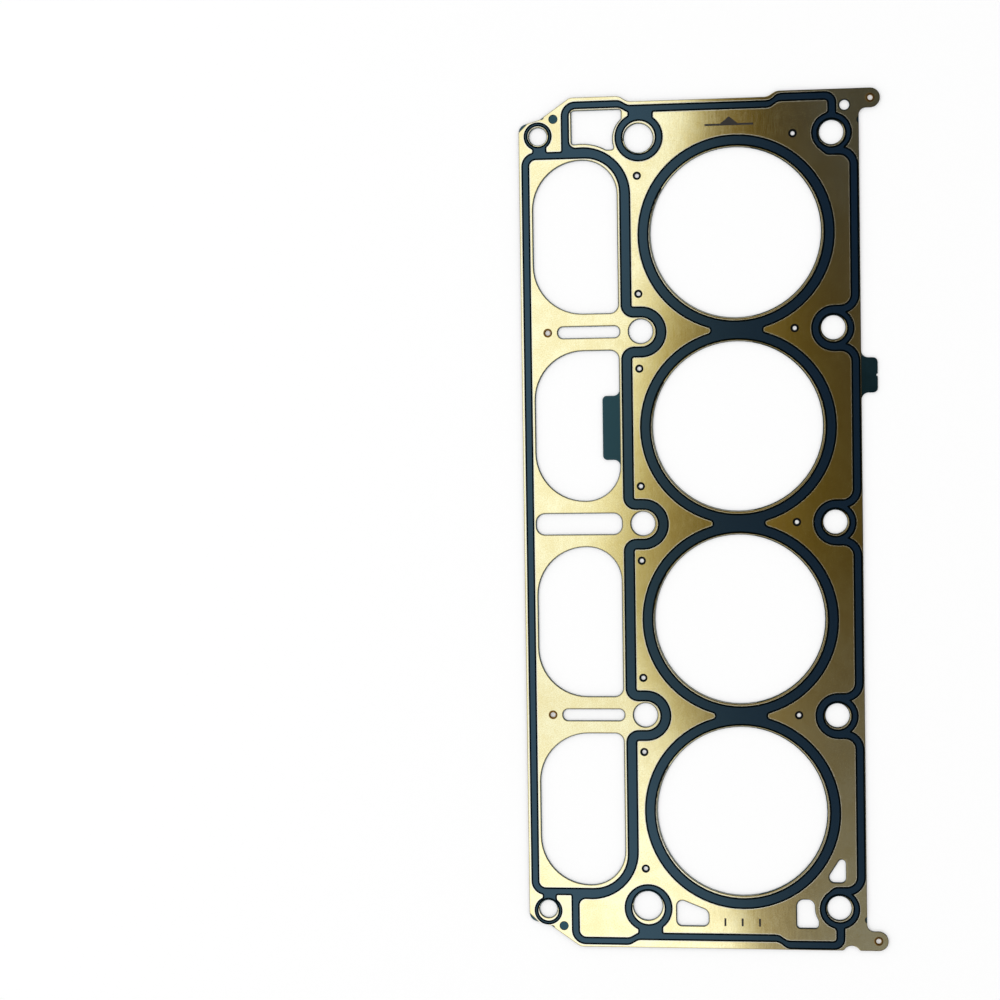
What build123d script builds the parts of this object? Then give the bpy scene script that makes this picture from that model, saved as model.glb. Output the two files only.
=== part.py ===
from build123d import *
import os

os.makedirs("parts", exist_ok=True)

# A layered steel cylinder head gasket for one bank of four bores, lying flat.
# Millimetres. +Y points to the front end, +X to the side with the ears, +Z up.
# The origin is the centre of the head bolt pattern, on the underside.

# Bores and head bolts
bore_count = 4
bore_pitch = 111.76
bore_radius = 49.0
bolt_x = 55.4
bolt_hole_radius = 6.9
dowel_hole_radius = 8.4

# Sheets and coats
outer_sheet = 0.25
carrier_sheet = 0.5
bead_height = 0.2
print_thickness = 0.06
stopper_thickness = 0.1
stopper_width = 1.6

# How much wider the outer sheets are cut than the middle sheet, so a dark ledge shows
bore_ledge = 0.6
hole_ledge = 0.4

# Bead round each bore, across its section
bead_from_bore = 2.2
bead_width = 3.6
bead_crest = 1.6

# Outline, from the windows, the right bolt column and the outer bolt rows
right_margin = 15.7
end_margin = 24.6
front_step = 3.3
front_step_run = 5.0
front_step_radius = 7.0
front_step_left = 8.6
front_step_right = 21.6
ear_reach = 22.2
ear_radius = 5.6
ear_root_radius = 4.0
cut_corner_side = 5.3
cut_corner_end = 10.4
shoulder_run = 12.3
diagonal_run = 30.1
diagonal_radius = 5.0
carrier_corner_end = 9.0
carrier_corner_radius = 5.0
edge_corner_radius = 1.0

# Notches in the edges
scallop_x = 62.2
scallop_radius = 5.2
scallop_out = 2.4
scallop_blend = 1.5
edge_notch_radius = 2.0
edge_notch_out = 0.9
edge_notch_beyond = 6.7
shoulder_notch_radius = 1.3
shoulder_notch_x = 13.4
shoulder_notch_beyond = 13.8

# Windows and slots on the left, from the left bolt column, the left edge and the bolt rows
window_from_bolts = 13.0
window_margin = 7.9
window_width = 49.0
window_arch_radius = 20.0
window_end_flat = 0.6
window_slot_radius = 5.0
window_end_gap = 12.0
window_slot_gap = 10.9
window_centre_gap = 13.5
slot_length = 35.9
slot_height = 6.5
slot_radius = 3.0
centre_slot_length = 50.0
centre_slot_height = 12.1
centre_slot_radius = 5.0
slot_right_shift = 0.6

# Tabs of the middle sheet
tab_reach = 9.3
tab_length = 20.2
tab_from_row = 27.7
tab_corner_radius = 2.75
tab_root_radius = 4.0
tab_notch_radius = 0.8
inner_tab_reach = 9.9
inner_tab_length = 37.3
inner_tab_corner_radius = 2.5
inner_tab_root_radius = 3.4

# Holes near the ends, from the outer bolt rows
corner_hole_margin = 11.3
corner_hole_beyond = 2.6
corner_hole_radius = 5.1
vent_hole_x = 63.0
vent_hole_beyond = 15.3
vent_hole_radius = 2.8
dark_dot_margin = 20.3
dark_dot_beyond = 12.5
dark_dot_radius = 2.45

# Coolant hole at the front, from the left bolt column and the front bolt row
coolant_left_beyond = 38.8
coolant_right_beyond = 10.0
coolant_top_beyond = 16.8
coolant_bottom_beyond = -6.1
coolant_bolt_radius = 15.3
coolant_arch_gap = 1.5
coolant_corner_radius = 1.3

# Oil return and steam holes at the rear, from the rear bolt row and the right bolt column
steam_corners = [(-93.9, -11.3, 3), (-93.9, 4.6, 3.1), (-75.6, -2.7, 4), (-75.6, -11.3, 3)]
oblong_corners = [(-24.4, -11.8), (-24.4, 4.6), (-12.0, 4.6), (-12.0, -11.8)]
oblong_bolt_radius = 14.2
oblong_top_radius = 4.0
oblong_low_radius = 2.0
teardrop_corners = [(-8.1, 14.9, 3), (3.8, 14.9, 2.6), (3.8, 33.3, 2.2)]

# Small metering holes beside the bores
metering_radius = 2.2
metering_bore_radius = 1.4
metering_left_beyond = 1.1
metering_from_row = 21.7
metering_right_inside = 22.0

# Eyelets
eyelet_margin = 15.5
eyelet_hole_radius = 1.7
eyelet_barrel_radius = 2.1
eyelet_head_radius = 2.6
eyelet_head = 0.06

# Sealing print: how far off the holes it was laid down, across and along
print_shift = (0.2, -0.45)

# Sealing print: bore rings
ring_from_bore = 1.3
ring_merge = 0.92
neck_radius = 1.6

# Sealing print: left loop, from the left edge and the outer bolt rows
left_band_margin = 1.1
left_band_width = 4.8
loop_corner_radius = 8.3
loop_pocket_radius = 3.8
loop_end_drop = 5.9
loop_end_width = 4.6
arch_radius = 28.2
arch_pocket_radius = 20.0
arch_drop = 3.7
inner_band_margin = 1.2
inner_band_width = 6.6
bolt_bend_radius = 8.35
bolt_bend_width = 6.5
bend_outer_radius = 7.5
bend_inner_radius = 1.1
bend_tip_flat = 0.1
junction_radius = 0.7

# Sealing print: end bands
box_band_beyond = 45.3
box_band_width = 4.9
end_band_beyond = 22.9
end_band_width = 4.6
end_band_step = 3.0
end_step_right = 22.6
end_band_right_beyond = 23.9
end_band_right_width = 5.1
end_step_radius = 6.0
box_corner_radius = 8.4
stem_inside = 2.3
stem_width = 5.3
stem_corner_radius = 6.5
corner_ring_margin = 11.0
corner_ring_beyond = 3.2
corner_ring_inner = 5.9
corner_ring_outer = 8.3
corner_stem_left = 3.4
corner_stem_right = 5.1
dowel_ring_beyond = 1.0
dowel_ring_inner = 9.4
dowel_ring_outer = 14.1
dowel_stem_left = 6.3
dowel_stem_right = 8.5

# Sealing print: right column
bolt_ring_inner = 7.7
bolt_ring_outer = 12.0
bolt_ring_bore_side = 12.9
end_ring_outer = 11.7
end_ring_beyond = 0.3
right_band_margin = 0.6
right_band_width = 5.3
right_bend_radius = 5.8
right_bend_drop = 13.4
end_bend_drop = 12.8
end_web_angle = 41.3
end_web_left = 2.9
end_web_radius = 5.0
end_pocket_radius = 1.8
end_stem_blend = 2.0

# How near two points are to count as level
same_place = 0.01

# Places worked out from the sizes above
row_y = [(i - bore_count / 2) * bore_pitch for i in range(bore_count + 1)]
bore_y = [(a + b) / 2 for a, b in zip(row_y, row_y[1:])]
end_y = row_y[-1]
window_right = -bolt_x - window_from_bolts
window_left = window_right - window_width
left_edge = window_left - window_margin
right_edge = bolt_x + right_margin
front_edge = end_y + end_margin
ear_y = front_edge - ear_radius

bottom_inner = outer_sheet
carrier_bottom = bottom_inner + bead_height
carrier_top = carrier_bottom + carrier_sheet
top_inner = carrier_top + bead_height
top_outer = top_inner + outer_sheet

bore_places = [(0, y) for y in bore_y]
inner_rows = row_y[1:-1]
bolt_places = [(-bolt_x, y) for y in inner_rows] + [(bolt_x, y) for y in row_y]
dowel_places = [(-bolt_x, row_y[0]), (-bolt_x, end_y)]
corner_places = [(left_edge + corner_hole_margin, s * (end_y + corner_hole_beyond)) for s in (-1, 1)]
slot_rows = [inner_rows[0], inner_rows[-1]]
eyelet_places = [(left_edge + eyelet_margin, y) for y in slot_rows]
eyelet_places += [(bolt_x + ear_reach, s * ear_y) for s in (-1, 1)]
metering_left_x = -bolt_x - metering_left_beyond
metering_left = [(metering_left_x, y + s * metering_from_row) for y in inner_rows for s in (-1, 1)]
metering_left += [(metering_left_x, s * (end_y - metering_from_row)) for s in (-1, 1)]
metering_places = metering_left + [(bolt_x - metering_right_inside, y) for y in row_y[1:]]
dot_places = [(left_edge + dark_dot_margin, s * (end_y + dark_dot_beyond)) for s in (-1, 1)]


# Shared sketches
def rounded_face(corners):
    """A face inside straight lines, with the radius that each corner states."""
    with BuildSketch() as face:
        with BuildLine():
            points = [(x, y) for x, y, radius in corners]
            FilletPolyline(*points, radius=[radius for x, y, radius in corners], close=True)
        make_face()
    return face.sketch


def window(slot_side, other_side, tab=()):
    """One large opening, with its tight corner beside a slot."""
    left_radius = window_width - window_arch_radius - window_end_flat
    corners = [
        (window_left, slot_side, left_radius),
        (window_left, other_side, left_radius),
        (window_right, other_side, window_arch_radius),
        *tab,
        (window_right, slot_side, window_slot_radius),
    ]
    return rounded_face(corners)


def outline(left_corners, side_corners=()):
    """The edge of a sheet, clockwise from the left, less the scallop at the rear."""
    ear_right = bolt_x + ear_reach + ear_radius
    ear_inner = ear_y - ear_radius
    step_left = -bolt_x - front_step_left
    diagonal_end = (left_edge + diagonal_run, front_edge, diagonal_radius)
    ear = [
        (ear_right, front_edge, ear_radius),
        (ear_right, ear_inner, ear_radius),
        (right_edge, ear_inner, ear_root_radius),
    ]
    front = [
        (step_left - front_step_run / 2, front_edge, front_step_radius),
        (step_left + front_step_run / 2, front_edge - front_step, front_step_radius),
        (front_step_right - front_step_run / 2, front_edge - front_step, front_step_radius),
        (front_step_right + front_step_run / 2, front_edge, front_step_radius),
    ]
    left_front = left_corners + [diagonal_end]
    rear = [(x, -y, radius) for x, y, radius in reversed(left_front + ear)]
    with BuildSketch() as edge:
        add(rounded_face(left_front + front + ear + list(side_corners) + rear))
        scallop_y = -front_edge - scallop_out
        with Locations((scallop_x, scallop_y)):
            Circle(scallop_radius, mode=Mode.SUBTRACT)
        rear_edge = edge.vertices().group_by(Axis.Y)[0]
        scallop_left = scallop_x - scallop_radius
        scallop_right = scallop_x + scallop_radius
        fillet(rear_edge.filter_by_position(Axis.X, scallop_left, scallop_right), scallop_blend)
    return edge.sketch


slot_x = window_right + slot_right_shift
loop_end_y = end_y - loop_end_drop
loop_left = left_edge + left_band_margin
box_band_x = -bolt_x - box_band_beyond
corner_ring_x = left_edge + corner_ring_margin
inner_band_left = window_right + inner_band_margin
inner_band_right = inner_band_left + inner_band_width
arch_x = inner_band_right - arch_radius
arch_y = end_y - arch_drop - arch_radius
inner_windows = (window_centre_gap, inner_rows[-1] - window_slot_gap)
outer_windows = (inner_rows[-1] + window_slot_gap, end_y - window_end_gap)

with BuildSketch() as coolant_hole:
    coolant_left = -bolt_x - coolant_left_beyond
    coolant_right = -bolt_x - coolant_right_beyond
    coolant_top = end_y + coolant_top_beyond
    coolant_bottom = end_y + coolant_bottom_beyond
    coolant_middle = ((coolant_left + coolant_right) / 2, (coolant_top + coolant_bottom) / 2)
    with Locations(coolant_middle):
        Rectangle(coolant_right - coolant_left, coolant_top - coolant_bottom)
    with Locations(dowel_places[1]):
        Circle(coolant_bolt_radius, mode=Mode.SUBTRACT)
    with Locations((arch_x, arch_y)):
        Circle(arch_radius + coolant_arch_gap, mode=Mode.SUBTRACT)
    fillet(coolant_hole.vertices(), coolant_corner_radius)

with BuildSketch() as oblong_hole:
    add(rounded_face([(bolt_x + x, -end_y + y, 0) for x, y in oblong_corners]))
    with Locations((bolt_x, -end_y)):
        Circle(oblong_bolt_radius, mode=Mode.SUBTRACT)
    low_corners = oblong_hole.vertices().filter_by_position(Axis.Y, -front_edge, -end_y)
    fillet(low_corners, oblong_low_radius)
    fillet(oblong_hole.vertices().group_by(Axis.Y)[-1], oblong_top_radius)

with BuildSketch() as shared_openings:
    with Locations(*bolt_places):
        Circle(bolt_hole_radius)
    with Locations(*dowel_places):
        Circle(dowel_hole_radius)
    with Locations(*corner_places):
        Circle(corner_hole_radius)
    with Locations((vent_hole_x, end_y + vent_hole_beyond)):
        Circle(vent_hole_radius)
    for side in (-1, 1):
        add(window(side * outer_windows[0], side * outer_windows[1]))
    add(window(-inner_windows[1], -inner_windows[0]))
    for y in slot_rows:
        with Locations((slot_x - slot_length / 2, y)):
            RectangleRounded(slot_length, slot_height, slot_radius)
    with Locations((slot_x - centre_slot_length / 2, 0)):
        RectangleRounded(centre_slot_length, centre_slot_height, centre_slot_radius)
    add(coolant_hole.sketch)
    add(oblong_hole.sketch)
    for hole in (steam_corners, teardrop_corners):
        add(rounded_face([(bolt_x + x, -end_y + y, radius) for x, y, radius in hole]))

with BuildSketch() as sheet_openings:
    add(shared_openings.sketch)
    add(window(inner_windows[1], inner_windows[0]))
    offset(amount=hole_ledge)
    with Locations(*bore_places):
        Circle(bore_radius + bore_ledge)
    with Locations(*eyelet_places):
        Circle(eyelet_barrel_radius)

with BuildSketch() as sheet_face:
    shoulder = (left_edge + shoulder_run, end_y + shoulder_run, edge_corner_radius)
    cut_corner = [
        (left_edge, end_y + cut_corner_side, 0),
        (left_edge + cut_corner_side, end_y + cut_corner_end, edge_corner_radius),
        shoulder,
    ]
    add(outline(cut_corner))
    add(sheet_openings.sketch, mode=Mode.SUBTRACT)
    with Locations(*metering_places):
        Circle(metering_radius, mode=Mode.SUBTRACT)
    with Locations(*dot_places):
        Circle(dark_dot_radius, mode=Mode.SUBTRACT)
    for side in (-1, 1):
        with Locations((right_edge + edge_notch_out, side * (end_y + edge_notch_beyond))):
            Circle(edge_notch_radius, mode=Mode.SUBTRACT)
        with Locations((left_edge + shoulder_notch_x, side * (end_y + shoulder_notch_beyond))):
            Circle(shoulder_notch_radius, mode=Mode.SUBTRACT)

with BuildSketch() as carrier_face:
    tab_right = right_edge + tab_reach
    tab_high = inner_rows[-1] - tab_from_row + tab_length / 2
    tab_low = tab_high - tab_length
    outer_tab = [
        (right_edge, tab_high, tab_root_radius),
        (tab_right, tab_high, tab_corner_radius),
        (tab_right, tab_low, tab_corner_radius),
        (right_edge, tab_low, tab_root_radius),
    ]
    inner_tab_left = window_right - inner_tab_reach
    inner_tab_high = bore_pitch / 2 + inner_tab_length / 2
    inner_tab_low = bore_pitch / 2 - inner_tab_length / 2
    inner_tab = [
        (window_right, inner_tab_low, inner_tab_root_radius),
        (inner_tab_left, inner_tab_low, inner_tab_corner_radius),
        (inner_tab_left, inner_tab_high, inner_tab_corner_radius),
        (window_right, inner_tab_high, inner_tab_root_radius),
    ]
    round_corner = [(left_edge, end_y + carrier_corner_end, carrier_corner_radius), shoulder]
    add(outline(round_corner, outer_tab))
    add(shared_openings.sketch, mode=Mode.SUBTRACT)
    add(window(inner_windows[1], inner_windows[0], inner_tab), mode=Mode.SUBTRACT)
    with Locations(*bore_places):
        Circle(bore_radius, mode=Mode.SUBTRACT)
    with Locations(*eyelet_places):
        Circle(eyelet_barrel_radius, mode=Mode.SUBTRACT)
    with Locations(*metering_places):
        Circle(metering_bore_radius, mode=Mode.SUBTRACT)
    with Locations((tab_right, (tab_high + tab_low) / 2)):
        Circle(tab_notch_radius, mode=Mode.SUBTRACT)


# Sealing print
ring_outer = bore_pitch / 2 + ring_merge
stem_x = bolt_x - stem_inside
right_band_right = right_edge - right_band_margin
right_band_left = right_band_right - right_band_width
right_bend_outer = right_bend_radius + right_band_width


def bolt_bend(x, y, radius, corner_radius):
    """Where an edge at x swings to the right round a bolt at height y, from the front down."""
    reach = -bolt_x + radius
    tip_radius = radius - bend_tip_flat / 2
    return [
        (x, y + radius, corner_radius),
        (reach, y + radius, tip_radius),
        (reach, y - radius, tip_radius),
        (x, y - radius, corner_radius),
    ]


with BuildSketch() as left_pocket:
    # The bare steel inside the left loop, with the windows, the slots and three bolts
    pocket_left = loop_left + left_band_width
    pocket_end = loop_end_y - loop_end_width
    pocket_corner = (pocket_left, pocket_end, loop_pocket_radius)
    pocket_arch = (inner_band_left, pocket_end, arch_pocket_radius)
    corners = [pocket_corner, pocket_arch]
    for y in reversed(inner_rows):
        corners += bolt_bend(inner_band_left, y, bolt_bend_radius, bend_outer_radius)
    corners += [(x, -y, radius) for x, y, radius in (pocket_arch, pocket_corner)]
    add(rounded_face(corners))

with BuildSketch() as middle_pocket:
    # The bare steel round the bore rings, up to the end bands
    low = end_band_beyond - end_band_width
    right_low = end_band_right_beyond - end_band_right_width
    box_left = box_band_x + box_band_width
    step_left = -bolt_x - front_step_left
    half_run = front_step_run / 2
    web_start = Vector(bolt_x, end_y) - Vector(end_ring_outer, 0).rotate(Axis.Z, end_web_angle)
    end_corners = [
        (box_left, loop_end_y, 0),
        (box_left, end_y + low, loop_pocket_radius),
        (step_left - half_run, end_y + low, end_step_radius),
        (step_left + half_run, end_y + low - end_band_step, end_step_radius),
        (end_step_right - half_run, end_y + low - end_band_step, end_step_radius),
        (end_step_right + half_run, end_y + right_low, end_step_radius),
        (stem_x, end_y + right_low, end_pocket_radius),
        (stem_x, end_y, 0),
        (web_start.X, web_start.Y, 0),
        (bolt_x - end_web_left, end_y - end_bend_drop, end_web_radius),
        (right_band_left, end_y - end_bend_drop, right_bend_radius),
    ]
    corners = list(end_corners)
    bend = right_bend_drop
    for y in reversed(inner_rows):
        reach = bolt_x - bolt_ring_bore_side
        corners += [
            (right_band_left, y + bend, right_bend_radius),
            (reach, y + bend, bend - bend_tip_flat / 2),
            (reach, y - bend, bend - bend_tip_flat / 2),
            (right_band_left, y - bend, right_bend_radius),
        ]
    corners += [(x, -y, radius) for x, y, radius in reversed(end_corners)]
    corners.append((inner_band_right, -arch_y, 0))
    for y in inner_rows:
        bends = bolt_bend(inner_band_right, y, bolt_bend_radius + bolt_bend_width, bend_inner_radius)
        corners += list(reversed(bends))
    corners.append((inner_band_right, arch_y, 0))
    add(rounded_face(corners))
    for side in (-1, 1):
        with Locations((arch_x, side * arch_y)):
            Circle(arch_radius, mode=Mode.SUBTRACT)
        with Locations((bolt_x, side * (end_y + end_ring_beyond))):
            Circle(end_ring_outer, mode=Mode.SUBTRACT)
    box_corners = middle_pocket.vertices().filter_by_position(Axis.Y, -end_y, end_y)
    fillet(box_corners.group_by(Axis.X)[0], loop_pocket_radius)
    roots = middle_pocket.vertices().filter_by_position(Axis.X, stem_x - same_place, stem_x + same_place)
    fillet(roots.sort_by(Axis.Y)[1:-1], end_stem_blend)

with BuildSketch() as print_face:
    front = [
        (loop_left, loop_end_y, loop_corner_radius),
        (box_band_x, loop_end_y, junction_radius),
        (box_band_x, end_y + end_band_beyond, box_corner_radius),
        (step_left - half_run, end_y + end_band_beyond, end_step_radius),
        (step_left + half_run, end_y + end_band_beyond - end_band_step, end_step_radius),
        (end_step_right - half_run, end_y + end_band_beyond - end_band_step, end_step_radius),
        (end_step_right + half_run, end_y + end_band_right_beyond, end_step_radius),
        (stem_x + stem_width, end_y + end_band_right_beyond, stem_corner_radius),
        (stem_x + stem_width, end_y - end_bend_drop + right_band_width, 0),
        (right_band_right, end_y - end_bend_drop + right_band_width, right_bend_outer),
    ]
    corners = list(front)
    inner_bend = right_bend_drop - right_band_width
    for y in reversed(inner_rows):
        corners += [
            (right_band_right, y + inner_bend, right_bend_outer),
            (bolt_x, y + inner_bend, 0),
            (bolt_x, y - inner_bend, 0),
            (right_band_right, y - inner_bend, right_bend_outer),
        ]
    corners += [(x, -y, radius) for x, y, radius in reversed(front)]
    add(rounded_face(corners))
    with Locations(*[(bolt_x, y) for y in inner_rows]):
        Circle(bolt_ring_outer)
    for side in (-1, 1):
        with Locations((bolt_x, side * (end_y + end_ring_beyond))):
            Circle(end_ring_outer)
        ring_y = end_y + corner_ring_beyond
        with Locations((corner_ring_x, side * ring_y)):
            Circle(corner_ring_outer)
        stem_low = loop_end_y - loop_end_width / 2
        stem_middle_x = corner_ring_x + (corner_stem_right - corner_stem_left) / 2
        with Locations((stem_middle_x, side * (ring_y + stem_low) / 2)):
            Rectangle(corner_stem_left + corner_stem_right, ring_y - stem_low)
    add(left_pocket.sketch, mode=Mode.SUBTRACT)
    add(middle_pocket.sketch, mode=Mode.SUBTRACT)
    for side in (-1, 1):
        dowel_ring_y = side * (end_y + dowel_ring_beyond)
        with Locations((-bolt_x, dowel_ring_y)):
            Circle(dowel_ring_outer)
        stem_end = end_y + end_band_beyond - end_band_step
        stem_middle_x = -bolt_x + (dowel_stem_right - dowel_stem_left) / 2
        with Locations((stem_middle_x, side * (end_y + stem_end) / 2)):
            Rectangle(dowel_stem_left + dowel_stem_right, stem_end - end_y)
    stem_sides = [corner_ring_x - corner_stem_left, corner_ring_x + corner_stem_right]
    stem_sides += [-bolt_x - dowel_stem_left, -bolt_x + dowel_stem_right]
    for x in stem_sides:
        roots = print_face.vertices().filter_by_position(Axis.X, x - same_place, x + same_place)
        fillet(roots, junction_radius)
    x = stem_x + stem_width
    stem_points = print_face.vertices().filter_by_position(Axis.X, x - same_place, x + same_place)
    fillet(stem_points.sort_by(Axis.Y)[1:-1], junction_radius)
    for side in (-1, 1):
        with Locations((-bolt_x, side * (end_y + dowel_ring_beyond))):
            Circle(dowel_ring_inner, mode=Mode.SUBTRACT)
        with Locations((corner_ring_x, side * (end_y + corner_ring_beyond))):
            Circle(corner_ring_inner, mode=Mode.SUBTRACT)
    with Locations(*[(bolt_x, y) for y in row_y]):
        Circle(bolt_ring_inner, mode=Mode.SUBTRACT)

with BuildSketch() as bore_rings:
    with Locations(*bore_places):
        Circle(ring_outer)
    necks = bore_rings.vertices().filter_by_position(Axis.X, -ring_outer / 2, ring_outer / 2)
    fillet(necks, neck_radius)
    with Locations(*bore_places):
        Circle(bore_radius + ring_from_bore, mode=Mode.SUBTRACT)

with BuildSketch() as laid_print:
    # The print as it was laid down, trimmed where it would hang over an opening
    with Locations(print_shift):
        add(print_face.sketch)
        add(bore_rings.sketch)
    add(sheet_openings.sketch, mode=Mode.SUBTRACT)


def bead_ring(face_z, crest_z):
    """The ring between a sheet's face and its pressed bead, flat along the crest."""
    middle = bore_radius + bead_from_bore + bead_width / 2
    with BuildPart() as ring:
        with BuildSketch(Plane.XZ):
            with BuildLine():
                Polyline(
                    (middle - bead_width / 2, face_z),
                    (middle - bead_crest / 2, crest_z),
                    (middle + bead_crest / 2, crest_z),
                    (middle + bead_width / 2, face_z),
                    close=True,
                )
            make_face()
        revolve(axis=Axis.Z)
    return ring.part


# The upper steel sheet, with a bead pressed down round each bore
groove = bead_ring(top_outer, top_outer - bead_height)
crest = bead_ring(top_inner, top_inner - bead_height)
with BuildPart() as upper_layer:
    with BuildSketch(Plane.XY.offset(top_inner)):
        add(sheet_face.sketch)
    extrude(amount=outer_sheet)
    with Locations(*bore_places):
        add(groove, mode=Mode.SUBTRACT)
        add(crest)
upper_layer.part.label = "upper_layer"

# The dark sealing print on the upper sheet, which also fills the bead's groove
with BuildPart() as upper_seal_print:
    with BuildSketch(Plane.XY.offset(top_outer)):
        add(laid_print.sketch)
    extrude(amount=print_thickness)
    with Locations(*bore_places):
        add(groove)
upper_seal_print.part.label = "upper_seal_print"

# The dark middle sheet with its two tabs
with BuildPart() as carrier_layer:
    with BuildSketch(Plane.XY.offset(carrier_bottom)):
        add(carrier_face.sketch)
    extrude(amount=carrier_sheet)
carrier_layer.part.label = "carrier_layer"

# The lower steel sheet, with its bead pressed up and its print in a shallow recess
lower_groove = bead_ring(0, bead_height)
lower_crest = bead_ring(bottom_inner, bottom_inner + bead_height)
with BuildPart() as lower_layer:
    with BuildSketch():
        add(sheet_face.sketch)
    extrude(amount=outer_sheet)
    with Locations(*bore_places):
        add(lower_groove, mode=Mode.SUBTRACT)
        add(lower_crest)
    with BuildSketch():
        add(laid_print.sketch)
    extrude(amount=print_thickness, mode=Mode.SUBTRACT)
lower_layer.part.label = "lower_layer"

with BuildPart() as lower_seal_print:
    with BuildSketch():
        add(laid_print.sketch)
    extrude(amount=print_thickness)
    with Locations(*bore_places):
        add(lower_groove)
lower_seal_print.part.label = "lower_seal_print"

# Tubular rivets through all three sheets, with a rolled head on top
with BuildPart() as eyelets:
    with BuildSketch():
        with Locations(*eyelet_places):
            Circle(eyelet_barrel_radius)
            Circle(eyelet_hole_radius, mode=Mode.SUBTRACT)
    extrude(amount=top_outer + eyelet_head)
    with BuildSketch(Plane.XY.offset(top_outer)):
        with Locations(*eyelet_places):
            Circle(eyelet_head_radius)
            Circle(eyelet_hole_radius, mode=Mode.SUBTRACT)
    extrude(amount=eyelet_head)
eyelets.part.label = "eyelets"

for piece in (upper_layer, upper_seal_print, carrier_layer, lower_layer, lower_seal_print, eyelets):
    export_step(piece.part, f"parts/{piece.part.label}.step")

# A thin steel shim on the middle sheet round each bore
for number, y in enumerate(reversed(bore_y), start=1):
    with BuildPart() as stopper_ring:
        with BuildSketch(Plane.XY.offset(carrier_top)):
            with Locations((0, y)):
                Circle(bore_radius + bore_ledge + stopper_width)
                Circle(bore_radius + bore_ledge, mode=Mode.SUBTRACT)
        extrude(amount=stopper_thickness)
    stopper_ring.part.label = f"stopper_ring_{number}"
    export_step(stopper_ring.part, f"parts/stopper_ring_{number}.step")
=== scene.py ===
import math

import bpy
from bpy.props import FloatProperty, FloatVectorProperty, PointerProperty, StringProperty
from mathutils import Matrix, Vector
from mathutils.bvhtree import BVHTree


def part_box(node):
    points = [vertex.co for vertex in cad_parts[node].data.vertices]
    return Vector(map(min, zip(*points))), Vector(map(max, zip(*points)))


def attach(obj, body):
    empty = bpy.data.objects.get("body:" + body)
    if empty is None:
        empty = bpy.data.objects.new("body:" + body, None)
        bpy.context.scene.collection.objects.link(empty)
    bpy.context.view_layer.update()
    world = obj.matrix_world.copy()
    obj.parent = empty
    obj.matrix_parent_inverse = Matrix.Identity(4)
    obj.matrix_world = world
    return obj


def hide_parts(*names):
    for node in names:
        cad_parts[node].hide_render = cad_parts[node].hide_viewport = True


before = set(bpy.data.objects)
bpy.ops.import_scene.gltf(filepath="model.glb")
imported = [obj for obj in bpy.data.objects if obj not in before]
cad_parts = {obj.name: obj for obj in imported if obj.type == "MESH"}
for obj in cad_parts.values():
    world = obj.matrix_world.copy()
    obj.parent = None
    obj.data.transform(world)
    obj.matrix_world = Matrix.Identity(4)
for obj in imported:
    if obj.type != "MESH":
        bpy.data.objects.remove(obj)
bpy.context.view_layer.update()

bl_info = {
    "name": "Cylinder Head Gasket",
    "version": (1, 0, 0),
    "blender": (4, 5, 0),
    "location": "View3D > Sidebar > Gasket",
    "description": "Finishes, printed edges, eyelets, marks and studio for a layered steel head gasket",
    "category": "Object",
}

MM = 0.001


# Values that a user would change

class GasketColours(bpy.types.PropertyGroup):
    """Colours of the gasket's finishes, as sRGB hex values."""
    gold_coat: StringProperty(
        name="Gold coat", description="Satin coat on the outer sheets", default="#FAF0C4")
    gold_deep: StringProperty(name="Deep gold", description="Thicker patches of the coat", default="#EFDFA8")
    cut_steel: StringProperty(name="Cut steel", description="Punched edges of the sheets", default="#A8A294")
    # Painted highlight: the pale line beside the print
    painted_highlight: StringProperty(
        name="Primer", description="Clear edge that runs out of the print", default="#FFF8E2")
    print_navy: StringProperty(name="Print", description="Elastomer sealing print", default="#061629")
    # Painted shade: the near-black line along the print's edge
    print_edge_shade: StringProperty(name="Print edge", description="Thick rim of the print", default="#010405")
    print_sheen: StringProperty(
        name="Print sheen", description="Gloss of the print's skin", default="#ADDEEF")
    carrier_coat: StringProperty(
        name="Carrier", description="Dark coat on the middle sheet", default="#04111A")
    carrier_sheen: StringProperty(
        name="Carrier sheen", description="Gloss of the dark coat", default="#9EEAFF")
    bright_steel: StringProperty(name="Bright steel", description="Stopper shims", default="#C9C6BD")
    eyelet_brass: StringProperty(name="Eyelets", description="Plated rivets", default="#7A5A28")
    # Bronze of the rolled lip, partly wear and partly darkened as painted shade along the edges
    edge_wear_and_shade: StringProperty(
        name="Worn edge", description="Rolled-over lip of a punched edge", default="#A89870")
    # Painted light: pale steel on the window-side ledges of the middle sheet
    painted_lit_ledge: StringProperty(
        name="Rubbed edge", description="Steel on the ledges of the middle sheet's holes", default="#DCD8C8")
    # Painted shade in and round the small holes
    lip: StringProperty(name="Coat lip", description="Coat in the small metering holes", default="#0A0C0D")
    ink: StringProperty(name="Ink", description="Laser marks on the coat", default="#1C170F")


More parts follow.
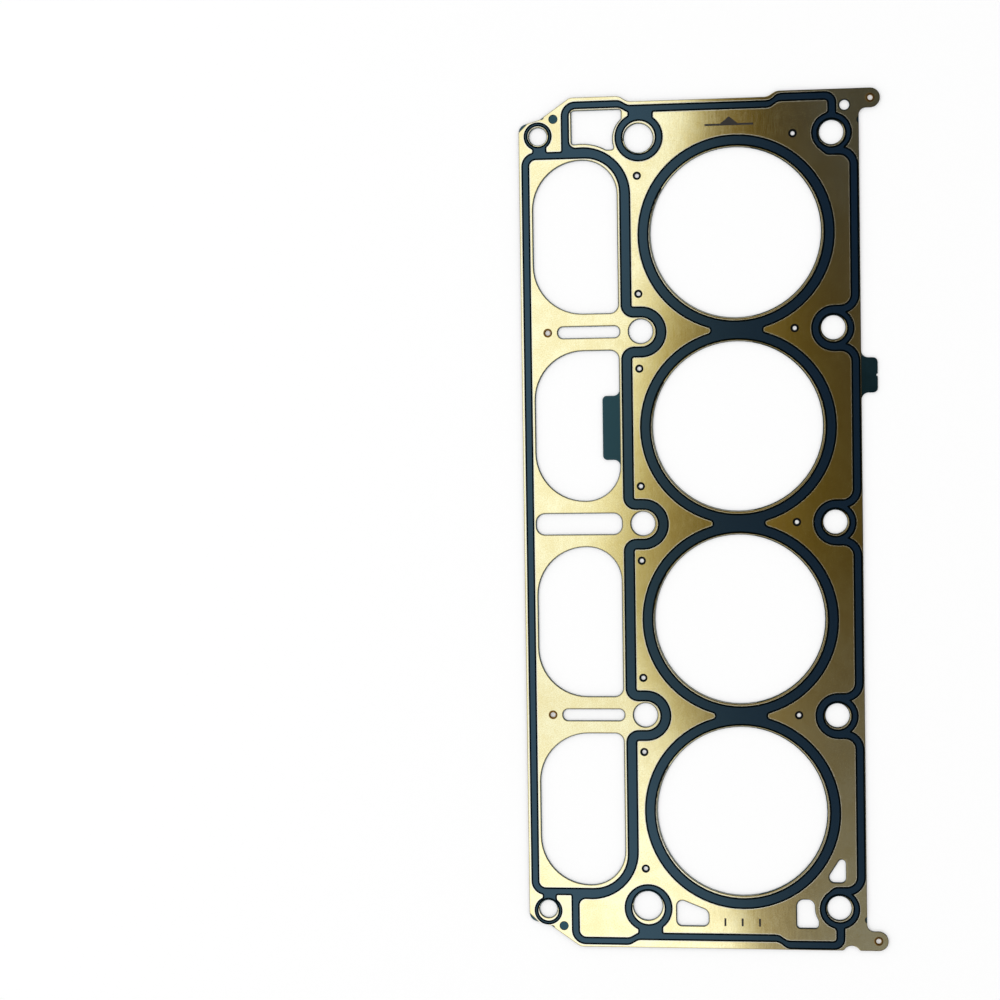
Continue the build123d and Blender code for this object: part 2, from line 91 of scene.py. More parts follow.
class GasketSizes(bpy.types.PropertyGroup):
    """Sizes of the fine detail, in metres."""
    grain: FloatProperty(
        name="Grain", description="Width of the rolling grain", default=0.9 * MM, min=0.1 * MM, unit="LENGTH")
    grain_length: FloatProperty(
        name="Grain length", description="Length of a grain along the sheet",
        default=6 * MM, min=0.1 * MM, unit="LENGTH")
    mottle: FloatProperty(
        name="Mottle", description="Size of the coat's patches", default=16 * MM, min=1 * MM, unit="LENGTH")
    stipple: FloatProperty(
        name="Stipple", description="Screen mesh left in the print",
        default=0.7 * MM, min=0.1 * MM, unit="LENGTH")
    relief: FloatProperty(
        name="Relief", description="Depth of the grain and of the stipple",
        default=0.02 * MM, min=0.0, unit="LENGTH")
    # Width of the painted shade along the print's edge
    rim: FloatProperty(
        name="Print rim", description="Width of the print's raised edge",
        default=1 * MM, min=0.05 * MM, unit="LENGTH")
    # Width of the painted highlight beside the print
    side_highlight: FloatProperty(
        name="Run-out", description="Width of the clear line beside the print",
        default=0.4 * MM, min=0.05 * MM, unit="LENGTH")
    # Width of the painted shade round a small hole of an outer sheet
    lip_width: FloatProperty(
        name="Lip width", description="Width of the coat round a small hole of an outer sheet",
        default=0.25 * MM, min=0.05 * MM, unit="LENGTH")
    edge_width: FloatProperty(
        name="Edge width", description="Width of the rolled-over lip",
        default=0.32 * MM, min=0.05 * MM, unit="LENGTH")
    edge_rise: FloatProperty(
        name="Edge rise", description="Rise of the rolled-over lip",
        default=0.04 * MM, min=0.0, unit="LENGTH")
    lift: FloatProperty(
        name="Lift", description="Height of a printed line over its base",
        default=0.003 * MM, min=0.0, unit="LENGTH")
    mark_stroke: FloatProperty(
        name="Mark stroke", description="Line width of the laser marks",
        default=1.15 * MM, min=0.1 * MM, unit="LENGTH")
    mark_height: FloatProperty(
        name="Mark height", description="Height of the laser marks",
        default=4.6 * MM, min=1 * MM, unit="LENGTH")


class GasketStage(bpy.types.PropertyGroup):
    """Camera and studio, in metres and radians."""
    camera_place: FloatVectorProperty(
        name="Camera place", description="Place of the camera from the origin",
        default=(0.0598, 0.0519, 1.3952), subtype="TRANSLATION")
    camera_turn: FloatVectorProperty(
        name="Camera turn", description="Turn of the camera about X, Y and Z",
        default=tuple(map(math.radians, (-1.638, 8.110, -0.846))), subtype="EULER")
    camera_lens: FloatProperty(
        name="Lens", description="Focal length on a 36 mm sensor", default=86.4, min=1.0, unit="CAMERA")
    card_height: FloatProperty(
        name="Card height", description="Height of the graded card over the gasket",
        default=1.5, min=0.1, unit="LENGTH")
    floor_size: FloatProperty(
        name="Floor size", description="Side of the floor", default=12.0, min=1.0, unit="LENGTH")
    floor_drop: FloatProperty(
        name="Floor drop", description="How far the floor lies under the gasket",
        default=0.02 * MM, min=0.0, unit="LENGTH")


# Small helpers

def linear(colour, shade=1.0):
    """An sRGB hex value as linear RGBA, made darker or lighter by shade."""
    channels = [int(colour[i:i + 2], 16) / 255 for i in (1, 3, 5)]
    channels = [c / 12.92 if c <= 0.04045 else ((c + 0.055) / 1.055) ** 2.4 for c in channels]
    return [shade * c for c in channels] + [1.0]


def set_inputs(tree, made, inputs):
    """Links or sets the inputs of a node, by name or number."""
    for name, value in inputs.items():
        if isinstance(value, bpy.types.NodeSocket):
            tree.links.new(value, made.inputs[name])
        else:
            made.inputs[name].default_value = value


def node(tree, kind, inputs=None, **settings):
    """Adds a node with its settings and its inputs."""
    made = tree.nodes.new(kind)
    for name, value in settings.items():
        setattr(made, name, value)
    set_inputs(tree, made, inputs or {})
    return made


def material(name):
    """A new node material, with its tree and its shader."""
    made = bpy.data.materials.new(name)
    made.use_nodes = True
    tree = made.node_tree
    return made, tree, tree.nodes["Principled BSDF"]


def finish_node(name, finish):
    """Gives a carried-over part its finish."""
    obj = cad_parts[name]
    obj.data.materials.clear()
    obj.data.materials.append(finish)


def piece(name, vertices, faces, finish, slot, smooth=False):
    """A new mesh piece that rides on the gasket, with its points in millimetres."""
    mesh = bpy.data.meshes.new(name)
    mesh.from_pydata([Vector(v) * MM for v in vertices], [], faces)
    mesh.materials.append(finish)
    if smooth:
        mesh.shade_smooth()
    obj = bpy.data.objects.new(name, mesh)
    bpy.context.scene.collection.objects.link(obj)
    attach(obj, "root")
    return obj


def rectangle(left, right, low, high):
    """The corners of a rectangle in plan, anticlockwise."""
    return [(left, low), (right, low), (right, high), (left, high)]


# Finishes

def gold_coated_steel():
    """Rolled stainless sheet under a satin gold coat: a metal whose light breaks up along its grain."""
    colours, sizes = bpy.context.scene.gasket_colours, bpy.context.scene.gasket_sizes
    made, tree, shader = material("gold_coated_rolled_steel")
    place = node(tree, "ShaderNodeTexCoord").outputs["Object"]
    # Grain runs along the sheet, so its noise is squeezed across and stretched along. Real grain is under
    # 0.1 mm wide, and this is drawn as coarse as it needs to show
    across = 1 / sizes.grain
    stretch = node(tree, "ShaderNodeMapping", {
        "Vector": place, "Scale": (across, 1 / sizes.grain_length, across)})
    grain = node(tree, "ShaderNodeTexNoise", {
        "Vector": stretch.outputs[0], "Scale": 1.0, "Detail": 3.0, "Roughness": 0.6})
    mottle = node(tree, "ShaderNodeTexNoise", {
        "Vector": place, "Scale": 1 / sizes.mottle, "Detail": 4.0, "Roughness": 0.65})
    speck = node(tree, "ShaderNodeTexNoise", {
        "Vector": place, "Scale": 1.2 / sizes.grain, "Detail": 2.0, "Roughness": 0.7})
    # The coat's tone drifts in soft patches, with finer flecks in it
    patches = node(tree, "ShaderNodeMath", {
        0: mottle.outputs["Fac"], 1: speck.outputs["Fac"]}, operation="ADD")
    tone = node(tree, "ShaderNodeMapRange", {
        "Value": patches.outputs[0], "From Min": 0.8, "From Max": 1.2})
    coat = node(tree, "ShaderNodeMix", {
        "Factor": tone.outputs[0], 6: linear(colours.gold_coat), 7: linear(colours.gold_deep)},
        data_type="RGBA")
    # Punched edges are bare steel
    normal = node(tree, "ShaderNodeNewGeometry").outputs["True Normal"]
    upward = node(tree, "ShaderNodeSeparateXYZ", {0: normal}).outputs["Z"]
    flat = node(tree, "ShaderNodeMath", {0: upward}, operation="ABSOLUTE")
    colour = node(tree, "ShaderNodeMix", {
        "Factor": flat.outputs[0], 6: linear(colours.cut_steel), 7: coat.outputs[2]}, data_type="RGBA")
    gloss = node(tree, "ShaderNodeMapRange", {
        "Value": grain.outputs["Fac"], "From Min": 0.3, "From Max": 0.7, "To Min": 0.065, "To Max": 0.11})
    rough = node(tree, "ShaderNodeMath", {0: speck.outputs["Fac"], 1: grain.outputs["Fac"]}, operation="ADD")
    relief = node(tree, "ShaderNodeBump", {
        "Height": rough.outputs[0], "Strength": 0.06, "Distance": sizes.relief})
    set_inputs(tree, shader, {
        "Base Color": colour.outputs[2], "Roughness": gloss.outputs[0], "Normal": relief.outputs[0],
        "Metallic": 1.0})
    return made


def dark_coated_steel():
    """Blue-black cured coat on the middle sheet: smooth and half gloss, so it reads teal in the light."""
    colours, sizes = bpy.context.scene.gasket_colours, bpy.context.scene.gasket_sizes
    made, tree, shader = material("blue_black_coated_steel")
    place = node(tree, "ShaderNodeTexCoord").outputs["Object"]
    haze = node(tree, "ShaderNodeTexNoise", {
        "Vector": place, "Scale": 1 / sizes.mottle, "Detail": 4.0, "Roughness": 0.6})
    gloss = node(tree, "ShaderNodeMapRange", {"Value": haze.outputs["Fac"], "To Min": 0.16, "To Max": 0.28})
    tone = node(tree, "ShaderNodeMix", {
        "Factor": haze.outputs["Fac"], 6: linear(colours.carrier_coat), 7: linear(colours.carrier_coat, 1.2)},
        data_type="RGBA")
    set_inputs(tree, shader, {
        "Base Color": tone.outputs[2], "Roughness": gloss.outputs[0],
        "Specular IOR Level": 1.0, "Specular Tint": linear(colours.carrier_sheen)})
    return made


def elastomer_print(name, colour, sheen):
    """Screen-printed and cured fluoroelastomer: dark, with a satin skin that keeps the screen's stipple.

    The skin mirrors a little blue, by as much as sheen says.
    """
    colours, sizes = bpy.context.scene.gasket_colours, bpy.context.scene.gasket_sizes
    made, tree, shader = material(name)
    place = node(tree, "ShaderNodeTexCoord").outputs["Object"]
    # A real screen has about eight threads to a millimetre. The stipple is coarser, so that it shows
    stipple = node(tree, "ShaderNodeTexNoise", {
        "Vector": place, "Scale": 1 / sizes.stipple, "Detail": 2.0, "Roughness": 0.6})
    cloud = node(tree, "ShaderNodeTexNoise", {
        "Vector": place, "Scale": 0.6 / sizes.mottle, "Detail": 3.0, "Roughness": 0.55})
    tone = node(tree, "ShaderNodeMix", {
        "Factor": cloud.outputs["Fac"], 6: linear(colour), 7: linear(colour, 1.3)}, data_type="RGBA")
    gloss = node(tree, "ShaderNodeMapRange", {"Value": stipple.outputs["Fac"], "To Min": 0.13, "To Max": 0.2})
    relief = node(tree, "ShaderNodeBump", {
        "Height": stipple.outputs["Fac"], "Strength": 0.05, "Distance": sizes.relief})
    set_inputs(tree, shader, {
        "Base Color": tone.outputs[2], "Roughness": gloss.outputs[0], "Normal": relief.outputs[0],
        "Specular IOR Level": sheen, "Specular Tint": linear(colours.print_sheen)})
    return made


def plain_metal(name, colour, roughness):
    """A bare or plated metal with a fine rubbed haze in its gloss."""
    sizes = bpy.context.scene.gasket_sizes
    made, tree, shader = material(name)
    place = node(tree, "ShaderNodeTexCoord").outputs["Object"]
    haze = node(tree, "ShaderNodeTexNoise", {
        "Vector": place, "Scale": 1 / sizes.grain, "Detail": 3.0, "Roughness": 0.6})
    drift = 0.06
    gloss = node(tree, "ShaderNodeMapRange", {
        "Value": haze.outputs["Fac"], "To Min": roughness - drift, "To Max": roughness + drift})
    tone = node(tree, "ShaderNodeMix", {
        "Factor": haze.outputs["Fac"], 6: linear(colour, 0.85), 7: linear(colour)}, data_type="RGBA")
    set_inputs(tree, shader, {
        "Base Color": tone.outputs[2], "Roughness": gloss.outputs[0], "Metallic": 1.0})
    return made


def laser_mark():
    """Gold coat burnt by a laser: dark and matt, a little uneven where the beam passed."""
    colours, sizes = bpy.context.scene.gasket_colours, bpy.context.scene.gasket_sizes
    made, tree, shader = material("laser_mark_on_gold_coat")
    place = node(tree, "ShaderNodeTexCoord").outputs["Object"]
    burn = node(tree, "ShaderNodeTexNoise", {"Vector": place, "Scale": 2 / sizes.grain, "Detail": 2.0})
    tone = node(tree, "ShaderNodeMix", {
        "Factor": burn.outputs["Fac"], 6: linear(colours.ink), 7: linear(colours.ink, 1.5)}, data_type="RGBA")
    set_inputs(tree, shader, {"Base Color": tone.outputs[2], "Roughness": 0.6})
    return made


# Edges and places that are read from the frame, in millimetres

# Each outer sheet with its print, and 1 where their outer faces look up or -1 where they look down
OUTER_SHEETS = (("upper_layer", "upper_seal_print", 1), ("lower_layer", "lower_seal_print", -1))
# The widest of each kind of opening
METERING_HOLE, SMALL_HOLE, WINDOW, BORE = 3, 9, 90, 120
# Sections of the painted shade in a metering hole and of a ledge painted pale as lit, as distances from the
# middle sheet's edge and heights over its face. The shade reaches into the hole, and the ledge stops short of
# it, so a line of the dark coat stands in for shade there
HOLE_SHADE = ((-0.2, -0.15), (0, 0), (0.78, 0))
LEDGE = ((0.3, 0), (0.58, 0))
# How far towards the ears the ledges painted pale as lit go, at the bores and at the other openings
BORE_LEDGE_END, OPENING_LEDGE_END = 10, 0


def face_loops(name, side):
    """The edge loops of a part's outer face with the face on their left, and the face's height."""
    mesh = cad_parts[name].data
    low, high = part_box(name)
    level = high.z if side > 0 else low.z
    following = {}
    directed = set()
    # Only faces that look straight out at the outer level count, and an edge that two of them share is inside
    for face in mesh.polygons:
        if side * face.normal.z < 0.99 or abs(face.center.z - level) > 1e-6:
            continue
        corners = [tuple(round(c / MM, 4) for c in mesh.vertices[i].co[:2]) for i in face.vertices]
        directed.update(zip(corners, corners[1:] + corners[:1]))
    for start, end in sorted(directed):
        if (end, start) not in directed:
            following[start] = end
    loops = []
    while following:
        start, point = following.popitem()
        loop = [start]
        while point != start:
            loop.append(point)
            point = following.pop(point)
        loops.append([Vector(p) for p in loop])
    return loops, level / MM


def loops_between(loops, least, most):
    """The loops whose width across the gasket lies between two values."""
    return [loop for loop in loops if least <= max(p.x for p in loop) - min(p.x for p in loop) < most]


def band_along(loops, profile, keep=lambda place: True):
    """A band beside each loop, with its section as distances to the left and heights.

    A stretch stays where keep allows the place that lies farthest from the loop.
    """
    vertices, faces = [], []
    rows = len(profile)
    farthest = max(range(rows), key=lambda row: abs(profile[row][0]))
    for loop in loops:
        loop = [p for i, p in enumerate(loop) if (p - loop[i - 1]).length > 1e-3]
        count, first = len(loop), len(vertices)
        for i, point in enumerate(loop):
            before = (point - loop[i - 1]).normalized()
            after = (loop[(i + 1) % count] - point).normalized()
            left = Vector((-(before.y + after.y), before.x + after.x)).normalized()
            # A mitred corner reaches farther, but a sharp one is held back
            reach = 1 / max(0.5, left.dot(Vector((-before.y, before.x))))
            for distance, height in profile:
                spot = point + left * distance * reach
                vertices.append((spot.x, spot.y, height))
        for i in range(count):
            a, b = first + rows * i, first + rows * ((i + 1) % count)
            if keep((Vector(vertices[a + farthest][:2]) + Vector(vertices[b + farthest][:2])) / 2):
                faces += [(a + row, b + row, b + row + 1, a + row + 1) for row in range(rows - 1)]
    used = sorted({corner for face in faces for corner in face})
    renumbered = {old: new for new, old in enumerate(used)}
    return [vertices[i] for i in used], [tuple(renumbered[i] for i in face) for face in faces]


def covers(name):
    """A test of whether a place lies within a carried-over part in plan."""
    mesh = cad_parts[name].data
    tree = BVHTree.FromPolygons([v.co for v in mesh.vertices], [tuple(f.vertices) for f in mesh.polygons])

    def covered(place):
        return tree.ray_cast(Vector((place.x * MM, place.y * MM, 1.0)), Vector((0, 0, -1)))[0] is not None
    return covered


def eyelet_places():
    """Centres of the eyelets, from the corners of their carried-over solids."""
    apart = 6
    groups = []
    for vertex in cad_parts["eyelets"].data.vertices:
        spot = Vector(vertex.co[:2]) / MM
        for group in groups:
            if (group[0] - spot).length < apart:
                group.append(spot)
                break
        else:
            groups.append([spot])
    places = []
    for group in groups:
        xs, ys = [p.x for p in group], [p.y for p in group]
        places.append(((min(xs) + max(xs)) / 2, (min(ys) + max(ys)) / 2))
    return sorted(places)


# Operators

class GASKET_OT_sheets(bpy.types.Operator):
    """Finish the three sheets and the stopper shims"""
    bl_idname = "gasket.sheets"
    bl_label = "Sheets"

    def execute(self, context):
        gold = gold_coated_steel()
        finish_node("upper_layer", gold)
        finish_node("lower_layer", gold)
        finish_node("carrier_layer", dark_coated_steel())
        # Bare spring steel as it comes from the rolls, bright with a soft gloss
        shim = plain_metal("bright_rolled_steel", context.scene.gasket_colours.bright_steel, roughness=0.3)
        for number in range(1, 5):
            finish_node(f"stopper_ring_{number}", shim)
        return {"FINISHED"}


class GASKET_OT_edges(bpy.types.Operator):
    """Roll over the punched edges with a line of painted shade, paint shade in the small holes and paint
    light on the middle sheet's ledges
    """
    bl_idname = "gasket.edges"
    bl_label = "Punched edges"

    def execute(self, context):
        colours, sizes = context.scene.gasket_colours, context.scene.gasket_sizes
        lift = sizes.lift / MM
        # Coat that the punch has thinned and polished, with its bronze darkened as painted shade, so the lip
        # draws a fine shaded line
        wear_and_shade = plain_metal("punched_edge_wear_and_shade", colours.edge_wear_and_shade, roughness=0.15)
        # Painted shade: a near-black band round each small hole, which stands in for the shade in the hole
        coat = elastomer_print("painted_shade_in_small_holes", colours.lip, sheen=0.1)
        for sheet, seal, side in OUTER_SHEETS:
            loops, level = face_loops(sheet, side)
            height = level + side * lift
            profile = [(0, height), (side * sizes.lip_width / MM, height)]
            holes = loops_between(loops, 0, SMALL_HOLE)
            piece(sheet + "_lips", *band_along(holes, profile), coat, "carrier_sheet")
            # The lower sheet's lip stays flat, because the gasket lies on it
            high = level + sizes.edge_rise / MM if side > 0 else height
            profile = [(0, height), (side * sizes.edge_width / MM, high)]
            printed = covers(seal)
            rest = loops_between(loops, SMALL_HOLE, math.inf)
            band = band_along(rest, profile, lambda place: not printed(place))
            piece(sheet + "_edge", *band, wear_and_shade, "coated_sheet")
        loops, level = face_loops("carrier_layer", 1)
        level += lift
        # Painted shade in the metering holes: a near-black band on the ledge that reaches into the hole
        profile = [(distance, level + height) for distance, height in HOLE_SHADE]
        holes = loops_between(loops, 0, METERING_HOLE)
        piece("metering_hole_lips", *band_along(holes, profile), coat, "carrier_sheet")
        # The middle sheet stands inside the outer sheets' openings as a ledge. On the window side it is
        # painted pale dull steel as light falling on it, and on the ear side and on its tabs it keeps its
        # dark coat
        lit_ledge = plain_metal("painted_light_on_middle_sheet_ledges", colours.painted_lit_ledge, roughness=0.42)
        beneath = covers("upper_layer")
        profile = [(distance, level + height) for distance, height in LEDGE]
        band = band_along(loops_between(loops, WINDOW, BORE), profile, lambda place: place.x < BORE_LEDGE_END)
        piece("bore_ledges", *band, lit_ledge, "carrier_sheet")
        band = band_along(loops_between(loops, METERING_HOLE, WINDOW), profile,
                          lambda place: place.x < OPENING_LEDGE_END and beneath(place))
        piece("opening_ledges", *band, lit_ledge, "carrier_sheet")
        return {"FINISHED"}


class GASKET_OT_prints(bpy.types.Operator):
    """Finish the sealing prints and draw the painted shade along their edges and the painted highlight beside
    them
    """
    bl_idname = "gasket.prints"
    bl_label = "Sealing prints"

    def execute(self, context):
        colours, sizes = context.scene.gasket_colours, context.scene.gasket_sizes
        lift = sizes.lift / MM
        body = elastomer_print("navy_fluoroelastomer_print", colours.print_navy, sheen=1.0)
        # Painted shade: a near-black line along the print's edge, without the blue skin
        rim = elastomer_print("painted_shade_at_print_edge", colours.print_edge_shade, sheen=0.04)
        # Painted highlight: a line beside the print, paler and glossier than the gold coat
        painted_highlight = plain_metal("painted_highlight_beside_print", colours.painted_highlight, roughness=0.2)
        for sheet, seal, side in OUTER_SHEETS:
            finish_node(seal, body)
            loops, level = face_loops(seal, side)
            # Seen from below, a loop turns the other way round in plan
            height = level + side * lift
            profile = [(0, height), (side * sizes.rim / MM, height)]
            piece(seal + "_rim", *band_along(loops, profile, covers(seal)), rim, "seal_print")
            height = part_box(sheet)[1 if side > 0 else 0].z / MM + side * lift
            profile = [(-side * sizes.side_highlight / MM, height), (0, height)]
            piece(seal + "_runout", *band_along(loops, profile, covers(sheet)), painted_highlight, "coated_sheet")
        return {"FINISHED"}


class GASKET_OT_eyelets(bpy.types.Operator):
    """Turn the tubular rivets with their rolled heads"""
    bl_idname = "gasket.eyelets"
    bl_label = "Eyelets"

    def execute(self, context):
        # Plated and then rolled over by a die, which leaves a smooth brassy shine
        brass = plain_metal("plated_rivet_metal", context.scene.gasket_colours.eyelet_brass, roughness=0.22)
        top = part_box("eyelets")[1].z / MM
        steps = 48
        # Radius and height across the wall in mm, from the foot of the hole over the rolled lip to the sheet
        wall = [(1.7, 0.0), (1.5, 0.25), (1.45, top - 0.3), (1.52, top - 0.08), (1.8, top), (2.2, top),
                (2.45, top - 0.03), (2.6, top - 0.06), (2.1, top - 0.06), (2.1, 0.0)]
        rows = len(wall)
        vertices, faces = [], []
        for x, y in eyelet_places():
            first = len(vertices)
            for step in range(steps):
                angle = 2 * math.pi * step / steps
                for radius, height in wall:
                    vertices.append((x + radius * math.cos(angle), y + radius * math.sin(angle), height))
                a, b = first + rows * step, first + rows * ((step + 1) % steps)
                for row in range(rows):
                    following = (row + 1) % rows
                    faces.append((a + row, b + row, b + following, a + following))
        made = piece("rolled_eyelets", vertices, faces, brass, "eyelet_steel", smooth=True)
        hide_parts("eyelets")
        return {"FINISHED"}


class GASKET_OT_marks(bpy.types.Operator):
    """Laser a plain arrow at the front and three index ticks at the rear"""
    bl_idname = "gasket.marks"
    bl_label = "Marks"

    def execute(self, context):
        sizes = context.scene.gasket_sizes
        stroke, tall = sizes.mark_stroke / MM, sizes.mark_height / MM
        level = (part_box("upper_layer")[1].z + sizes.lift) / MM
        # The arrow points along the row of bores and stands on a short line. Places are in mm
        arrow_x, line_low = -3, 231.5 - tall / 2
        line_half, head_half, head_tip = 14, 5, line_low + tall + 0.6
        line_high = line_low + stroke
        shapes = [
            rectangle(arrow_x - line_half, arrow_x + line_half, line_low, line_high),
            [(arrow_x - head_half, line_high), (arrow_x + head_half, line_high), (arrow_x, head_tip)]]
        ticks_low = -234.9
        for x in (-10.5, -0.5, 9.5):
            shapes.append(rectangle(x - stroke / 2, x + stroke / 2, ticks_low, ticks_low + tall))
        vertices, faces = [], []
        for shape in shapes:
            faces.append(tuple(range(len(vertices), len(vertices) + len(shape))))
            vertices += [(x, y, level) for x, y in shape]
        piece("laser_marks", vertices, faces, laser_mark(), "coated_sheet")
        return {"FINISHED"}


class GASKET_OT_stage(bpy.types.Operator):
    """Set the floor, the graded card, the lights and the camera"""
    bl_idname = "gasket.stage"
    bl_label = "Studio"

    def execute(self, context):
        stage = context.scene.gasket_stage
        make_world(context.scene)
        make_floor(stage)
        make_card(stage)
        make_lights()
        make_camera(context.scene, stage)
        context.scene.view_settings.view_transform = "Standard"
        return {"FINISHED"}


# Studio, in metres

WHITE = "#FFFFFF"
# Strength of the world's light on the object, and the share of the floor that is plain white to the eye
FILL, FLOOR_WHITE = 0.88, 0.2
# Each soft box with its place, its side and its power in watts
LAMPS = (
    ("left_box", (-1.3, 0.2, 1.9), 1.6, 6.0),
    ("right_box", (1.5, -0.5, 2.0), 1.8, 2.5))
SENSOR_WIDTH = 36.0  # millimetres
# The card's grade, by the place across the gasket that mirrors it, from the pale side to the warm dark
CARD_TONES = [
    (-0.09, "#F4FAFF"), (-0.074, "#E8E8D0"), (-0.06, "#B4AC7C"), (-0.046, "#94885C"), (-0.022, "#645830"),
    (0.016, "#6C5C30"), (0.04, "#50441C"), (0.08, "#403824"), (0.16, "#404040")]
# By the place along the gasket, from one end of the reach to the other: the grade's width and its brightness
CARD_REACH = 0.26
CARD_WIDTHS = [
    (-CARD_REACH, 0.2), (-0.21, 0.32), (-0.14, 0.6), (-0.1, 0.75), (-0.05, 1.08), (0.02, 1.02), (0.14, 0.66),
    (0.22, 0.34), (CARD_REACH, 0.28)]
CARD_LEVELS = [
    (-CARD_REACH, 1.2), (-0.18, 1.17), (-0.12, 1.02), (-0.06, 1.1), (0.0, 1.22), (CARD_REACH, 1.22)]
# The line about which the grade narrows: its slope, and its place across at the middle of the gasket
PIVOT_SLOPE, PIVOT_MIDDLE = -0.052, 0.0075
# A white veil over the rear of the card: where along the gasket it starts, and its strength at the end
VEIL_START, VEIL_STRENGTH = -0.02, 0.17
# Half the card's side in its own coordinates, well past the gasket's ends
CARD_HALF = 0.8


def stage_sheet(name, half, height, finish):
    """A square level sheet of the studio, which isn't part of the gasket."""
    mesh = bpy.data.meshes.new(name)
    mesh.from_pydata([(x, y, height) for x, y in rectangle(-half, half, -half, half)], [], [(0, 1, 2, 3)])
    mesh.materials.append(finish)
    obj = bpy.data.objects.new(name, mesh)
    bpy.context.scene.collection.objects.link(obj)
    return obj


def seen_directly(tree):
    """1 for rays from the camera and for the rays that mirrors and glass send on, 0 for the rest."""
    ray = node(tree, "ShaderNodeLightPath")
    either = node(tree, "ShaderNodeMath", {
        0: ray.outputs["Is Camera Ray"], 1: ray.outputs["Is Glossy Ray"]}, operation="MAXIMUM")
    return node(tree, "ShaderNodeMath", {
        0: either.outputs[0], 1: ray.outputs["Is Transmission Ray"]}, operation="MAXIMUM").outputs[0]


def make_world(scene):
    """White to the eye and in reflections, and a soft even fill on the object."""
    world = bpy.data.worlds.new("studio")
    scene.world = world
    world.use_nodes = True
    tree = world.node_tree
    level = node(tree, "ShaderNodeMapRange", {"Value": seen_directly(tree), "To Min": FILL, "To Max": 1.0})
    set_inputs(tree, tree.nodes["Background"], {"Color": linear(WHITE), "Strength": level.outputs[0]})


def make_floor(stage):
    """A matt white paper floor that keeps a faint shadow of the gasket."""
    made, tree, shader = material("white_paper")
    set_inputs(tree, shader, {"Base Color": linear(WHITE), "Roughness": 0.9})
    white = node(tree, "ShaderNodeEmission", {"Color": linear(WHITE), "Strength": 1.0})
    share = node(tree, "ShaderNodeMath", {0: seen_directly(tree), 1: FLOOR_WHITE}, operation="MULTIPLY")
    mixed = node(tree, "ShaderNodeMixShader", {
        0: share.outputs[0], 1: shader.outputs[0], 2: white.outputs[0]})
    set_inputs(tree, tree.nodes["Material Output"], {"Surface": mixed.outputs[0]})
    stage_sheet("floor", stage.floor_size / 2, -stage.floor_drop, made)


def set_stops(ramp, stops):
    """Gives a colour ramp its stops, as places with linear RGBA. The first and last are the ramp's ends."""
    first, last = stops[0][0], stops[-1][0]
    elements = ramp.color_ramp.elements
    while len(elements) < len(stops):
        elements.new(0.5)
    for element, (place, colour) in zip(elements, stops):
        element.position, element.color = (place - first) / (last - first), colour


def make_card(stage):
    """A card overhead, graded from pale to dark across, that only the gloss of the gasket sees."""
    made, tree, shader = material("graded_card")
    tree.nodes.remove(shader)
    place = node(tree, "ShaderNodeSeparateXYZ", {0: node(tree, "ShaderNodeTexCoord").outputs["Object"]})
    across, along = place.outputs["X"], place.outputs["Y"]
    length = node(tree, "ShaderNodeMapRange", {
        "Value": along, "From Min": -CARD_REACH, "From Max": CARD_REACH})
    narrow = node(tree, "ShaderNodeValToRGB", {0: length.outputs[0]})
    bright = node(tree, "ShaderNodeValToRGB", {0: length.outputs[0]})
    # A ramp holds no more than 1, so the widths and levels go in halved
    for ramp, stops in ((narrow, CARD_WIDTHS), (bright, CARD_LEVELS)):
        set_stops(ramp, [(spot, [value / 2] * 3 + [1]) for spot, value in stops])
    strength = node(tree, "ShaderNodeMath", {0: bright.outputs[0], 1: 2.0}, operation="MULTIPLY")
    # Towards both ends of the gasket the grade narrows about a line a little right of the middle
    pivot = node(tree, "ShaderNodeMath", {
        0: along, 1: PIVOT_SLOPE, 2: PIVOT_MIDDLE}, operation="MULTIPLY_ADD")
    offset = node(tree, "ShaderNodeMath", {0: across, 1: pivot.outputs[0]}, operation="SUBTRACT")
    halved = node(tree, "ShaderNodeMath", {0: offset.outputs[0], 1: 0.5}, operation="MULTIPLY")
    spread = node(tree, "ShaderNodeMath", {0: halved.outputs[0], 1: narrow.outputs[0]}, operation="DIVIDE")
    level = node(tree, "ShaderNodeMath", {0: spread.outputs[0], 1: pivot.outputs[0]}, operation="ADD")
    grade = node(tree, "ShaderNodeMapRange", {
        "Value": level.outputs[0], "From Min": CARD_TONES[0][0], "From Max": CARD_TONES[-1][0]})
    ramp = node(tree, "ShaderNodeValToRGB", {0: grade.outputs[0]})
    set_stops(ramp, [(spot, linear(tone)) for spot, tone in CARD_TONES])
    veil = node(tree, "ShaderNodeMapRange", {
        "Value": along, "From Min": VEIL_START, "From Max": -CARD_REACH,
        "To Min": 0.0, "To Max": VEIL_STRENGTH})
    grade_glow = node(tree, "ShaderNodeEmission", {"Color": ramp.outputs[0], "Strength": strength.outputs[0]})
    veil_glow = node(tree, "ShaderNodeEmission", {"Color": linear(WHITE), "Strength": veil.outputs[0]})
    glow = node(tree, "ShaderNodeAddShader", {0: grade_glow.outputs[0], 1: veil_glow.outputs[0]})
    set_inputs(tree, tree.nodes["Material Output"], {"Surface": glow.outputs[0]})
    card = stage_sheet("graded_card", CARD_HALF, 0, made)
    # Scaled and moved so that the card's own coordinates are those of the spot on the gasket that mirrors it
    eye = stage.camera_place
    ratio = stage.card_height / eye.z
    card.scale = (1 + ratio, 1 + ratio, 1)
    card.location = (-ratio * eye.x, -ratio * eye.y, stage.card_height)
    for kind in ("camera", "diffuse", "transmission", "volume_scatter", "shadow"):
        setattr(card, "visible_" + kind, False)


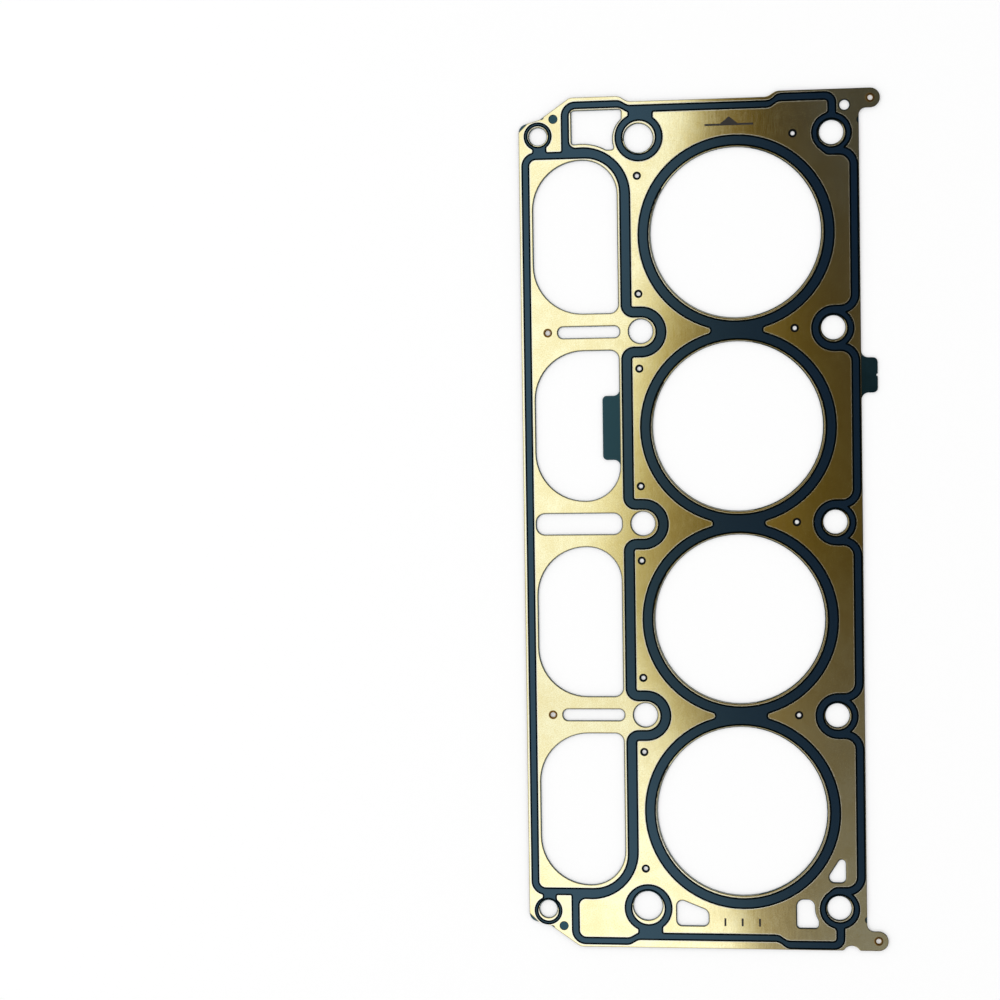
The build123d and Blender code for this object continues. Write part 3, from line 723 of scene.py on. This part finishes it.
def make_lights():
    """Two broad soft boxes, the stronger at the left, that leave no shape of their own in the gloss."""
    for name, place, side, power in LAMPS:
        lamp = bpy.data.lights.new(name, "AREA")
        lamp.shape, lamp.size, lamp.energy = "SQUARE", side, power
        obj = bpy.data.objects.new(name, lamp)
        obj.location = place
        obj.rotation_euler = (-Vector(place)).to_track_quat("-Z", "Y").to_euler()
        obj.visible_glossy = False
        bpy.context.scene.collection.objects.link(obj)


def make_camera(scene, stage):
    """The photograph's camera, above the gasket and turned a little from square."""
    data = bpy.data.cameras.new("camera")
    data.lens, data.sensor_width = stage.camera_lens, SENSOR_WIDTH
    data.clip_start, data.clip_end = 0.05, 50.0
    camera = bpy.data.objects.new("camera", data)
    camera.location = stage.camera_place
    camera.rotation_euler = stage.camera_turn
    scene.collection.objects.link(camera)
    scene.camera = camera


class GASKET_PT_panel(bpy.types.Panel):
    """Gasket tools in the sidebar"""
    bl_idname = "GASKET_PT_panel"
    bl_label = "Head Gasket"
    bl_space_type = "VIEW_3D"
    bl_region_type = "UI"
    bl_category = "Gasket"

    def draw(self, context):
        for step in STEPS:
            self.layout.operator(step.bl_idname)
        for group in (context.scene.gasket_colours, context.scene.gasket_sizes, context.scene.gasket_stage):
            column = self.layout.column(align=True)
            for name in group.__annotations__:
                column.prop(group, name)


STEPS = (GASKET_OT_sheets, GASKET_OT_edges, GASKET_OT_prints, GASKET_OT_eyelets, GASKET_OT_marks,
         GASKET_OT_stage)
GROUPS = (GasketColours, GasketSizes, GasketStage)


def register():
    for kind in (*GROUPS, *STEPS, GASKET_PT_panel):
        bpy.utils.register_class(kind)
    bpy.types.Scene.gasket_colours = PointerProperty(type=GasketColours)
    bpy.types.Scene.gasket_sizes = PointerProperty(type=GasketSizes)
    bpy.types.Scene.gasket_stage = PointerProperty(type=GasketStage)


def unregister():
    del bpy.types.Scene.gasket_stage, bpy.types.Scene.gasket_sizes, bpy.types.Scene.gasket_colours
    for kind in reversed((*GROUPS, *STEPS, GASKET_PT_panel)):
        bpy.utils.unregister_class(kind)


def main():
    """Runs every step in order."""
    register()
    bpy.ops.gasket.sheets()
    bpy.ops.gasket.edges()
    bpy.ops.gasket.prints()
    bpy.ops.gasket.eyelets()
    bpy.ops.gasket.marks()
    bpy.ops.gasket.stage()


if __name__ == "__main__":
    main()
